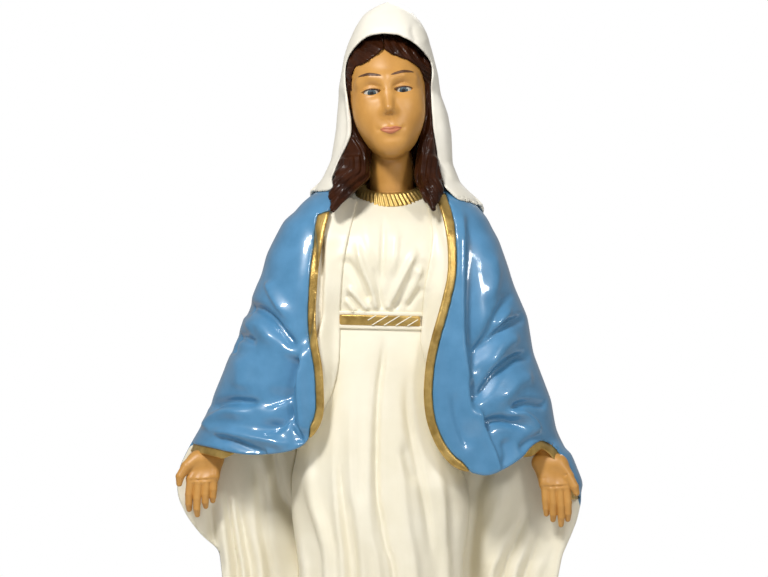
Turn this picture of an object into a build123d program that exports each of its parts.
from build123d import *

import os
from math import cos, radians, sin

# Standing Madonna statue, 600 mm tall, with lowered open hands, on a half globe and a round plinth.
#
# It is built as hollow resin castings, glued together over a central threaded rod and then painted.
# The figure faces -Y, +X is at the right of someone who looks at its front, and +Z is up.
# The origin is the middle of the underside, on the surface that the statue stands on.
# Lengths are in millimetres.

# Heights above the standing surface
TOTAL_HEIGHT = 600
FELT_TOP = 2
PLATE_TOP = 10
PLINTH_TOP = 26
GLOBE_TOP = 66
LINING_TOP = 362
WRIST_Z = 366
BELT_Z = 432
GOWN_TOP = 499
MANTLE_TOP = 503
VEIL_HEM_Z = 446
HAIR_BOTTOM = 492

# Walls, widths and clearances
GOWN_WALL = 5
MANTLE_WALL = 3
FACING_WALL = 2.4
CUFF_WALL = 1.6
CUFF_HEIGHT = 8
VEIL_WALL = 3
LINING_FRONT_Y = -9
LINING_BACK_Y = -4
TRIM_WIDTH = 4.5
FACING_WIDTH = 9.5
BELT_HEIGHT = 10
BELT_THICKNESS = 2.2
GAP = 0.2

# Base
FELT_R = 92
PLINTH_R = 95
PLINTH_NECK_R = 88
PLATE_R = 80
PLINTH_WALL = 5
GLOBE_R = 80
GLOBE_WALL = 5
SCREW_CIRCLE_R = 66
SCREW_COUNT = 4
SCREW_R = 2
SCREW_HEAD_R = 4
SCREW_LENGTH = 18
BOSS_R = 6

# Serpent on the globe
SERPENT_R = 4.5
SERPENT_PATH_R = 73
SERPENT_Z = 47
SERPENT_START = 205
SERPENT_ARC = 125

# Central rod, blocks, dowel and pins
ROD_R = 4
ROD_BOTTOM = 11
ROD_TOP = 474
NUT_R = 7.5
NUT_HEIGHT = 6.5
WASHER_R = 12
WASHER_T = 1.6
CHEST_BLOCK = (446, 462)
SHOULDER_BLOCK = (479, 491)
DOWEL_R = 4
DOWEL_TOP = 524
PIN_R = 1.5
PIN_REACH = 12
PIN_SHIFT_Y = -0.5

# Head and neck
HEAD_X = 5.5
HEAD_Y = -4
HEAD_Z = 555
HEAD_HALF_WIDTH = 20.5
HEAD_HALF_HEIGHT = 35
NECK_X = 7
NECK_R = 10.5
COLLAR_R = 17.5
COLLAR_HOLE_R = 11.5
COLLAR_HEIGHT = 4

# Arms: centre and radius at the shoulder, elbow and wrist of the arm at -X
ARM_POINTS = [(-36, 2, 472), (-66, 2, 415), (-86, -15, 363)]
ARM_RADII = [12, 10, 5.5]

# Hands: x and z of each finger's root and tip, index finger first, then the thumb's
HAND_Y = -17.5
PALM_THICKNESS = 8
FINGER_R = 2
LEFT_PALM = [(-96, 367), (-82, 367), (-84, 345), (-101, 345)]
LEFT_FINGERS = [((-99, 347), (-99, 333)), ((-95, 347), (-95, 330)), ((-91, 347), (-91, 335)), ((-87, 347), (-87, 337))]
LEFT_THUMB = ((-98, 361), (-104.5, 348))
RIGHT_PALM = [(81, 367), (96, 367), (100, 340), (83, 343)]
RIGHT_FINGERS = [((98, 343), (100, 328)), ((94, 343), (95.5, 324.5)), ((90, 344), (91, 327.5)), ((86, 344), (86.5, 330))]
RIGHT_THUMB = ((97, 358), (103.5, 342))

# Ovals: height, then the reach from the axis to the left, right, front and back
RING_FULLNESS = 0.58
MANTLE_FULLNESS = 0.66
MANTLE_RINGS = [
    (34, 74, 77, 50, 68),
    (150, 79, 86, 50, 66),
    (250, 81, 90, 49, 62),
    (296, 84, 94, 48, 60),
    (320, 96, 101, 48, 58),
    (342, 107.5, 107.5, 48, 57),
    (366, 100, 98, 48, 55),
    (384, 91, 91, 48, 54),
    (408, 81, 83, 48, 52),
    (432, 73, 78, 47, 50),
    (456, 63, 70, 45, 47),
    (476, 53, 62, 41, 43),
    (488, 45, 56, 36, 38),
    (497, 37, 48, 30, 33),
    (MANTLE_TOP, 27, 38, 23, 27),
]
GOWN_RINGS = [
    (40, 60, 60, 63, 46),
    (200, 52, 52, 56, 38),
    (300, 47, 47, 51, 33),
    (370, 40, 40, 43, 29),
    (BELT_Z, 32, 34, 34, 26),
    (465, 34, 38, 37, 28),
    (488, 26, 32, 28, 22),
    (GOWN_TOP, 13, 24, 17, 16),
]
VEIL_RINGS = [
    (VEIL_HEM_Z, 44, 52, 40, 54.5),
    (470, 44, 56, 40, 50),
    (490, 38, 55, 38, 43),
    (507, 30, 44, 35, 36),
    (530, 23, 38, 33, 34),
    (556, 20, 32, 33, 35),
    (578, 16, 28, 28, 32),
    (588, 12, 24, 21, 28),
    (594, 7, 19, 14, 22),
    (598, 3, 15, 9, 17),
    (TOTAL_HEIGHT, -1, 11, 5, 13),
]

# Openings seen from the front, as (x, z) points
OPENING_LEFT = [(-22, 510), (-27, 482), (-31.5, 455), (-32, 430), (-28, 402), (-28, 383), (-36, 370)]
OPENING_RIGHT = [(27, 510), (32, 487), (35.5, 466), (31, 437), (24, 410), (22.5, 386), (30, 366), (43, 354)]
SLEEVE_EDGE_LEFT = [(-46, 363), (-70, 362), (-100, 365.5), (-125, 366)]
SLEEVE_EDGE_RIGHT = [(56, 351.5), (70, 357), (85, 369), (98, 357), (106, 341), (125, 335)]
VEIL_OPENING = [
    (5, 583), (-11, 573), (-17, 560), (-15, 530), (-23, 506), (-60, 500), (-60, 400),
    (70, 400), (70, 496), (37, 500), (32, 520), (27, 540), (27.5, 560), (20, 577),
]
FACE_OPENING = [
    (3, 574), (-9, 562), (-13, 548), (-8, 528), (-3, 515), (-3, 480),
    (20, 480), (20, 515), (22, 528), (27, 548), (18, 564),
]
TOE_OPENING = [(-24, 30), (24, 30), (22, 54), (14, 60), (-14, 60), (-22, 54)]
FAR = 160


def quarter_curves(ring, fullness):
    """Control points of the four Bezier quarters of one oval, anticlockwise from +X."""
    _, left, right, front, back = ring
    middle = (right - left) / 2
    half = (right + left) / 2
    quarters = []
    for side_x, side_y, depth in ((1, 1, back), (-1, 1, back), (-1, -1, front), (1, -1, front)):
        side = (middle + side_x * half, 0)
        side_handle = (middle + side_x * half, side_y * depth * fullness)
        end_handle = (middle + side_x * half * fullness, side_y * depth)
        end = (middle, side_y * depth)
        points = [side, side_handle, end_handle, end]
        quarters.append(points if side_x == side_y else points[::-1])
    return quarters


def inset(rings, wall, drop=0):
    """The same ovals, smaller by a wall all round and lower by a drop."""
    return [
        (z - drop, left - wall, right - wall, front - wall, back - wall)
        for z, left, right, front, back in rings
    ]


def envelope(rings, fullness=RING_FULLNESS):
    """Solid through a stack of ovals."""
    with BuildPart() as body:
        for ring in rings:
            with BuildSketch(Plane.XY.offset(ring[0])):
                with BuildLine():
                    for points in quarter_curves(ring, fullness):
                        Bezier(*points)
                make_face()
        loft(ruled=True)
    return body.part


def front_prism(outline, front_y, back_y):
    """Prism with an (x, z) outline, from front_y to back_y."""
    with BuildPart() as prism:
        with BuildSketch(Plane.XZ.offset(-back_y)):
            with BuildLine():
                Polyline(*outline, close=True)
            make_face()
        extrude(amount=back_y - front_y)
    return prism.part


def block(low, high):
    """Plain box between two corners."""
    size = [b - a for a, b in zip(low, high)]
    with BuildPart() as box:
        with Locations((Vector(*low) + Vector(*high)) * 0.5):
            Box(*size)
    return box.part


def layer(low_z, high_z):
    """Wide flat box between two heights."""
    return block((-FAR, -FAR, low_z), (FAR, FAR, high_z))


def shifted(points, distance):
    """The points moved sideways in x."""
    return [(x + distance, z) for x, z in points]


def upright(radius, low_z, high_z, x=0, y=0):
    """Upright cylinder between two heights."""
    with BuildPart() as rod:
        with BuildSketch(Plane.XY.offset(low_z)):
            with Locations((x, y)):
                Circle(radius)
        extrude(amount=high_z - low_z)
    return rod.part


def half_globe(radius, height):
    """Solid half of a flattened globe on the plinth."""
    with BuildPart() as dome:
        with BuildSketch(Plane.XZ):
            with BuildLine():
                EllipticalCenterArc((0, PLINTH_TOP), radius, height, 0, arc_size=90)
                Polyline((0, PLINTH_TOP + height), (0, PLINTH_TOP), (radius, PLINTH_TOP))
            make_face()
        revolve(axis=Axis.Z)
    return dome.part


# Shapes that several pieces are cut from
mantle_outer = envelope(MANTLE_RINGS, MANTLE_FULLNESS)
mantle_inner = envelope(inset(MANTLE_RINGS, MANTLE_WALL), MANTLE_FULLNESS)
facing_outer = envelope(inset(MANTLE_RINGS, MANTLE_WALL + GAP), MANTLE_FULLNESS)
facing_inner = envelope(inset(MANTLE_RINGS, MANTLE_WALL + GAP + FACING_WALL), MANTLE_FULLNESS)
cuff_inner = envelope(inset(MANTLE_RINGS, MANTLE_WALL + GAP + CUFF_WALL), MANTLE_FULLNESS)
gown_outer = envelope(GOWN_RINGS)
gown_inner = envelope(inset(GOWN_RINGS, GOWN_WALL))
veil_outer = envelope(VEIL_RINGS)
veil_inner = envelope(inset(VEIL_RINGS, VEIL_WALL, VEIL_WALL))
hair_outer = envelope(inset(VEIL_RINGS, VEIL_WALL + GAP, VEIL_WALL + GAP))
globe_outer = half_globe(GLOBE_R, GLOBE_TOP - PLINTH_TOP)
globe_inner = half_globe(GLOBE_R - GLOBE_WALL, GLOBE_TOP - PLINTH_TOP - GLOBE_WALL)
below_sleeves = SLEEVE_EDGE_LEFT + [(-125, 0), (125, 0)] + SLEEVE_EDGE_RIGHT[::-1]
opening = front_prism(OPENING_LEFT + below_sleeves + OPENING_RIGHT[::-1], -FAR, LINING_BACK_Y)
opening_with_trims = front_prism(
    shifted(OPENING_LEFT, -TRIM_WIDTH) + below_sleeves + shifted(OPENING_RIGHT, TRIM_WIDTH)[::-1],
    -FAR,
    LINING_BACK_Y,
)

parts = {}


def keep(node, part):
    """Names a finished piece and sets it aside for export."""
    part.label = node
    parts[node] = part


# Base -------------------------------------------------------------------------------------

with BuildPart() as felt_pad:
    Cylinder(FELT_R, FELT_TOP, align=(Align.CENTER, Align.CENTER, Align.MIN))
    edges = felt_pad.edges().group_by(Axis.Z)[-1]
    fillet(edges, 0.5)
keep("felt_pad", felt_pad.part)

with BuildPart() as base_plate:
    with BuildSketch(Plane.XY.offset(FELT_TOP)):
        Circle(PLATE_R - GAP)
    extrude(amount=PLATE_TOP - FELT_TOP)
    with Locations(Plane(origin=(0, 0, FELT_TOP), z_dir=(0, 0, -1))):
        with PolarLocations(SCREW_CIRCLE_R, SCREW_COUNT):
            CounterSinkHole(SCREW_R + GAP, SCREW_HEAD_R + GAP, PLATE_TOP - FELT_TOP)
keep("base_plate", base_plate.part)

with BuildPart() as base_screws:
    for place in PolarLocations(SCREW_CIRCLE_R, SCREW_COUNT).locations:
        x, y = place.position.X, place.position.Y
        head_height = SCREW_HEAD_R - SCREW_R
        add(upright(SCREW_R, FELT_TOP, FELT_TOP + SCREW_LENGTH, x, y))
        with Locations((x, y, FELT_TOP + head_height / 2)):
            Cone(SCREW_HEAD_R, SCREW_R, head_height)
keep("base_screws", base_screws.part)

with BuildPart() as plinth:
    with BuildSketch(Plane.XZ):
        with BuildLine():
            Polyline(
                (0, PLINTH_TOP),
                (PLINTH_NECK_R - 1, PLINTH_TOP),
                (PLINTH_NECK_R, PLINTH_TOP - 1),
                (PLINTH_NECK_R, PLINTH_TOP - 6),
            )
            ThreePointArc(
                (PLINTH_NECK_R, PLINTH_TOP - 6),
                (PLINTH_NECK_R - 2, PLINTH_TOP - 10),
                (PLINTH_NECK_R + 3, PLINTH_TOP - 14),
            )
            Polyline(
                (PLINTH_NECK_R + 3, PLINTH_TOP - 14),
                (PLINTH_R, PLINTH_TOP - 15),
                (PLINTH_R, FELT_TOP + 1),
                (PLINTH_R - 1, FELT_TOP),
                (PLATE_R, FELT_TOP),
                (PLATE_R, PLATE_TOP),
                (PLATE_R - PLINTH_WALL, PLATE_TOP),
                (PLATE_R - PLINTH_WALL, PLINTH_TOP - PLINTH_WALL),
                (0, PLINTH_TOP - PLINTH_WALL),
                (0, PLINTH_TOP),
            )
        make_face()
    revolve(axis=Axis.Z)
    with BuildSketch(Plane.XY.offset(PLATE_TOP)):
        with PolarLocations(SCREW_CIRCLE_R, SCREW_COUNT):
            Circle(BOSS_R)
    extrude(amount=PLINTH_TOP - PLINTH_WALL - PLATE_TOP)
    for place in PolarLocations(SCREW_CIRCLE_R, SCREW_COUNT).locations:
        pilot = upright(SCREW_R, FELT_TOP, FELT_TOP + SCREW_LENGTH, place.position.X, place.position.Y)
        add(pilot, mode=Mode.SUBTRACT)
    add(upright(ROD_R + GAP, PLATE_TOP, PLINTH_TOP), mode=Mode.SUBTRACT)
keep("plinth", plinth.part)

with BuildPart() as globe:
    add(globe_outer)
    add(globe_inner, mode=Mode.SUBTRACT)
    add(upright(ROD_R + GAP, PLINTH_TOP, GLOBE_TOP), mode=Mode.SUBTRACT)
keep("globe", globe.part)

with BuildPart() as serpent:
    start = Plane.XZ.rotated((0, 0, SERPENT_START))
    with BuildSketch(start):
        with Locations((SERPENT_PATH_R, SERPENT_Z)):
            Circle(SERPENT_R)
    revolve(axis=Axis.Z, revolution_arc=SERPENT_ARC)
    for angle in (SERPENT_START, SERPENT_START + SERPENT_ARC):
        x = SERPENT_PATH_R * cos(radians(angle))
        y = SERPENT_PATH_R * sin(radians(angle))
        with Locations((x, y, SERPENT_Z)):
            Sphere(SERPENT_R + 0.5)
    add(globe_outer, mode=Mode.SUBTRACT)
keep("serpent", serpent.part)

# Gown, belt and feet ----------------------------------------------------------------------

toe_arch = front_prism(TOE_OPENING, -FAR, -30)

with BuildPart() as gown_skirt:
    add(gown_outer)
    add(gown_inner, mode=Mode.SUBTRACT)
    add(layer(0, BELT_Z), mode=Mode.INTERSECT)
    add(globe_outer, mode=Mode.SUBTRACT)
    add(toe_arch, mode=Mode.SUBTRACT)
keep("gown_skirt", gown_skirt.part)

with BuildPart() as gown_bodice:
    add(gown_outer)
    add(gown_inner, mode=Mode.SUBTRACT)
    add(layer(BELT_Z, GOWN_TOP), mode=Mode.INTERSECT)
keep("gown_bodice", gown_bodice.part)

for node, foot_x in (("foot_left", -10.5), ("foot_right", 11.5)):
    with BuildPart() as foot:
        with BuildSketch(Plane.XY.offset(54)):
            with BuildLine():
                EllipticalCenterArc((foot_x, -52), 6.5, 15, -90, arc_size=180)
                Line((foot_x, -67), (foot_x, -37))
            make_face()
        revolve(axis=Axis(origin=(foot_x, -52, 54), direction=(0, 1, 0)))
        add(globe_outer, mode=Mode.SUBTRACT)
        add(gown_skirt.part, mode=Mode.SUBTRACT)
        add(gown_inner, mode=Mode.SUBTRACT)
        add(serpent.part, mode=Mode.SUBTRACT)
    keep(node, foot.part)

for node, side in (("facing_left", -1), ("facing_right", 1)):
    edge = OPENING_LEFT if side < 0 else OPENING_RIGHT
    strip = shifted(edge, side * TRIM_WIDTH / 2) + shifted(edge, -side * FACING_WIDTH)[::-1]
    with BuildPart() as facing:
        add(facing_outer)
        add(facing_inner, mode=Mode.SUBTRACT)
        add(front_prism(strip, -FAR, -10), mode=Mode.INTERSECT)
        add(layer(376, 494), mode=Mode.INTERSECT)
        add(gown_outer, mode=Mode.SUBTRACT)
    keep(node, facing.part)

with BuildPart() as belt_cord:
    add(envelope(inset(GOWN_RINGS, -BELT_THICKNESS)))
    add(gown_outer, mode=Mode.SUBTRACT)
    belt_zone = block((-23, -FAR, BELT_Z - BELT_HEIGHT / 2), (24, 0, BELT_Z + BELT_HEIGHT / 2))
    add(belt_zone, mode=Mode.INTERSECT)
    for node in ("facing_left", "facing_right"):
        add(parts[node], mode=Mode.SUBTRACT)
keep("belt_cord", belt_cord.part)

# Blue mantle with its trims, lining and cuffs --------------------------------------------

with BuildPart() as mantle_shell:
    add(mantle_outer)
    add(mantle_inner, mode=Mode.SUBTRACT)
    add(globe_outer, mode=Mode.SUBTRACT)

with BuildPart() as mantle_all:
    add(mantle_shell.part)
    add(opening_with_trims, mode=Mode.SUBTRACT)

back_half = block((-FAR, LINING_BACK_Y, 0), (FAR, FAR, MANTLE_TOP))

with BuildPart() as mantle_back:
    add(mantle_all.part)
    add(back_half, mode=Mode.INTERSECT)
keep("mantle_back", mantle_back.part)

for node, side in (("mantle_left", -1), ("mantle_right", 1)):
    with BuildPart() as drape:
        add(mantle_all.part)
        add(back_half, mode=Mode.SUBTRACT)
        add(block((min(0, side * FAR), -FAR, 0), (max(0, side * FAR), FAR, MANTLE_TOP)), mode=Mode.INTERSECT)
    keep(node, drape.part)

for node, side in (("trim_left", -1), ("trim_right", 1)):
    with BuildPart() as trim:
        add(mantle_shell.part)
        add(opening_with_trims, mode=Mode.INTERSECT)
        add(opening, mode=Mode.SUBTRACT)
        add(block((min(0, side * FAR), -FAR, 350), (max(0, side * FAR), FAR, MANTLE_TOP)), mode=Mode.INTERSECT)
    keep(node, trim.part)

for node, side in (("lining_left", -1), ("lining_right", 1)):
    with BuildPart() as lining:
        add(mantle_outer)
        low = (min(0, side * FAR), LINING_FRONT_Y, 28)
        high = (max(0, side * FAR), LINING_BACK_Y, LINING_TOP)
        add(block(low, high), mode=Mode.INTERSECT)
        for other in (gown_outer, globe_outer, mantle_all.part):
            add(other, mode=Mode.SUBTRACT)
    keep(node, lining.part)

# Arms and hands ---------------------------------------------------------------------------


def finger(root, tip, radius):
    """Round-ended finger between two (x, z) points at the hands' depth."""
    start = Vector(root[0], HAND_Y, root[1])
    end = Vector(tip[0], HAND_Y, tip[1])
    along = end - start
    with BuildPart() as shape:
        with BuildSketch(Plane(origin=start, z_dir=along)):
            Circle(radius)
        extrude(amount=along.length)
        with Locations(end):
            Sphere(radius)
    return shape.part


hands = (
    ("left", 1, LEFT_PALM, LEFT_FINGERS, LEFT_THUMB),
    ("right", -1, RIGHT_PALM, RIGHT_FINGERS, RIGHT_THUMB),
)
for name, mirror_sign, palm, fingers, thumb in hands:
    centres = [Vector(mirror_sign * x, y, z) for x, y, z in ARM_POINTS]
    forearm = (centres[2] - centres[1]).normalized()
    pin_start = centres[2] - forearm * PIN_REACH + Vector(0, PIN_SHIFT_Y, 0)
    with BuildPart() as wrist_pin:
        with BuildSketch(Plane(origin=pin_start, z_dir=forearm)):
            Circle(PIN_R)
        extrude(amount=2 * PIN_REACH)
    keep(f"wrist_pin_{name}", wrist_pin.part)

    with BuildPart() as cuff:
        add(facing_outer)
        add(cuff_inner, mode=Mode.SUBTRACT)
        near, far = -mirror_sign * 70, -mirror_sign * FAR
        low = (min(near, far), -FAR, WRIST_Z + GAP)
        high = (max(near, far), LINING_FRONT_Y, WRIST_Z + CUFF_HEIGHT)
        add(block(low, high), mode=Mode.INTERSECT)
    keep(f"cuff_lining_{name}", cuff.part)

    with BuildPart() as arm:
        for start, end, start_r, end_r in zip(centres, centres[1:], ARM_RADII, ARM_RADII[1:]):
            along = end - start
            with BuildSketch(Plane(origin=start, z_dir=along)):
                Circle(start_r)
            with BuildSketch(Plane(origin=end, z_dir=along)):
                Circle(end_r)
            loft()
        for centre, radius in zip(centres, ARM_RADII):
            with Locations(centre):
                Sphere(radius)
        add(layer(WRIST_Z, MANTLE_TOP), mode=Mode.INTERSECT)
        add(mantle_inner, mode=Mode.INTERSECT)
        for other in (gown_outer, cuff.part, wrist_pin.part):
            add(other, mode=Mode.SUBTRACT)
    keep(f"arm_{name}", arm.part)

    with BuildPart() as hand:
        with BuildSketch(Plane.XZ.offset(-HAND_Y - PALM_THICKNESS / 2)):
            with BuildLine():
                Polyline(*palm, close=True)
            make_face()
        extrude(amount=PALM_THICKNESS)
        for root, tip in [*fingers, thumb]:
            add(finger(root, tip, FINGER_R + 0.1))
        add(layer(0, WRIST_Z), mode=Mode.INTERSECT)
        add(wrist_pin.part, mode=Mode.SUBTRACT)
        add(mantle_all.part, mode=Mode.SUBTRACT)
    keep(f"hand_{name}", hand.part)

# Head, collar, hair and veil --------------------------------------------------------------

neck_dowel = upright(DOWEL_R, SHOULDER_BLOCK[0], DOWEL_TOP, NECK_X)
keep("neck_dowel", neck_dowel)

with BuildPart() as head:
    with BuildSketch(Plane.XZ.offset(-HEAD_Y)):
        with BuildLine():
            EllipticalCenterArc((HEAD_X, HEAD_Z), HEAD_HALF_WIDTH, HEAD_HALF_HEIGHT, -90, arc_size=180)
            Line((HEAD_X, HEAD_Z - HEAD_HALF_HEIGHT), (HEAD_X, HEAD_Z + HEAD_HALF_HEIGHT))
        make_face()
    revolve(axis=Axis(origin=(HEAD_X, HEAD_Y, HEAD_Z), direction=(0, 0, 1)))
    add(upright(NECK_R, SHOULDER_BLOCK[1], HEAD_Z, NECK_X))
    add(neck_dowel, mode=Mode.SUBTRACT)
keep("head", head.part)

with BuildPart() as collar_trim:
    with BuildSketch(Plane(origin=(NECK_X, 0, GOWN_TOP), z_dir=(0, -0.12, 1))):
        Circle(COLLAR_R)
        Circle(COLLAR_HOLE_R, mode=Mode.SUBTRACT)
    extrude(amount=COLLAR_HEIGHT)
    add(gown_outer, mode=Mode.SUBTRACT)
    add(mantle_shell.part, mode=Mode.SUBTRACT)
    add(head.part, mode=Mode.SUBTRACT)
keep("collar_trim", collar_trim.part)

hair_tools = [
    front_prism(FACE_OPENING, -FAR, 3),
    head.part,
    neck_dowel,
    collar_trim.part,
    gown_outer,
    mantle_outer,
]
for node, side in (("hair_left", -1), ("hair_right", 1)):
    with BuildPart() as hair:
        add(hair_outer)
        low = (min(HEAD_X, HEAD_X + side * FAR), -FAR, HAIR_BOTTOM)
        high = (max(HEAD_X, HEAD_X + side * FAR), FAR, TOTAL_HEIGHT)
        add(block(low, high), mode=Mode.INTERSECT)
        for tool in hair_tools:
            add(tool, mode=Mode.SUBTRACT)
    keep(node, hair.part)

with BuildPart() as veil:
    add(veil_outer)
    add(veil_inner, mode=Mode.SUBTRACT)
    add(front_prism(VEIL_OPENING, -FAR, 3), mode=Mode.SUBTRACT)
    for other in (mantle_outer, collar_trim.part, head.part):
        add(other, mode=Mode.SUBTRACT)
keep("veil", veil.part)

# Central rod and the blocks inside the bodice --------------------------------------------

keep("centre_rod", upright(ROD_R, ROD_BOTTOM, ROD_TOP))

washer_heights = (PLINTH_TOP - PLINTH_WALL - WASHER_T, CHEST_BLOCK[1])
nut_heights = (washer_heights[0] - NUT_HEIGHT, CHEST_BLOCK[1] + WASHER_T)

with BuildPart() as rod_washers:
    for height in washer_heights:
        with BuildSketch(Plane.XY.offset(height)):
            Circle(WASHER_R)
            Circle(ROD_R + GAP, mode=Mode.SUBTRACT)
        extrude(amount=WASHER_T)
keep("rod_washers", rod_washers.part)

with BuildPart() as rod_nuts:
    for height in nut_heights:
        with BuildSketch(Plane.XY.offset(height)):
            RegularPolygon(NUT_R, 6)
            Circle(ROD_R, mode=Mode.SUBTRACT)
        extrude(amount=NUT_HEIGHT)
keep("rod_nuts", rod_nuts.part)

for node, (low_z, high_z), hole in (
    ("chest_block", CHEST_BLOCK, upright(ROD_R + GAP, 0, TOTAL_HEIGHT)),
    ("shoulder_block", SHOULDER_BLOCK, neck_dowel),
):
    with BuildPart() as wood_block:
        add(gown_inner)
        add(layer(low_z, high_z), mode=Mode.INTERSECT)
        add(hole, mode=Mode.SUBTRACT)
    keep(node, wood_block.part)

os.makedirs("parts", exist_ok=True)
for node, part in parts.items():
    export_step(part, f"parts/{node}.step")
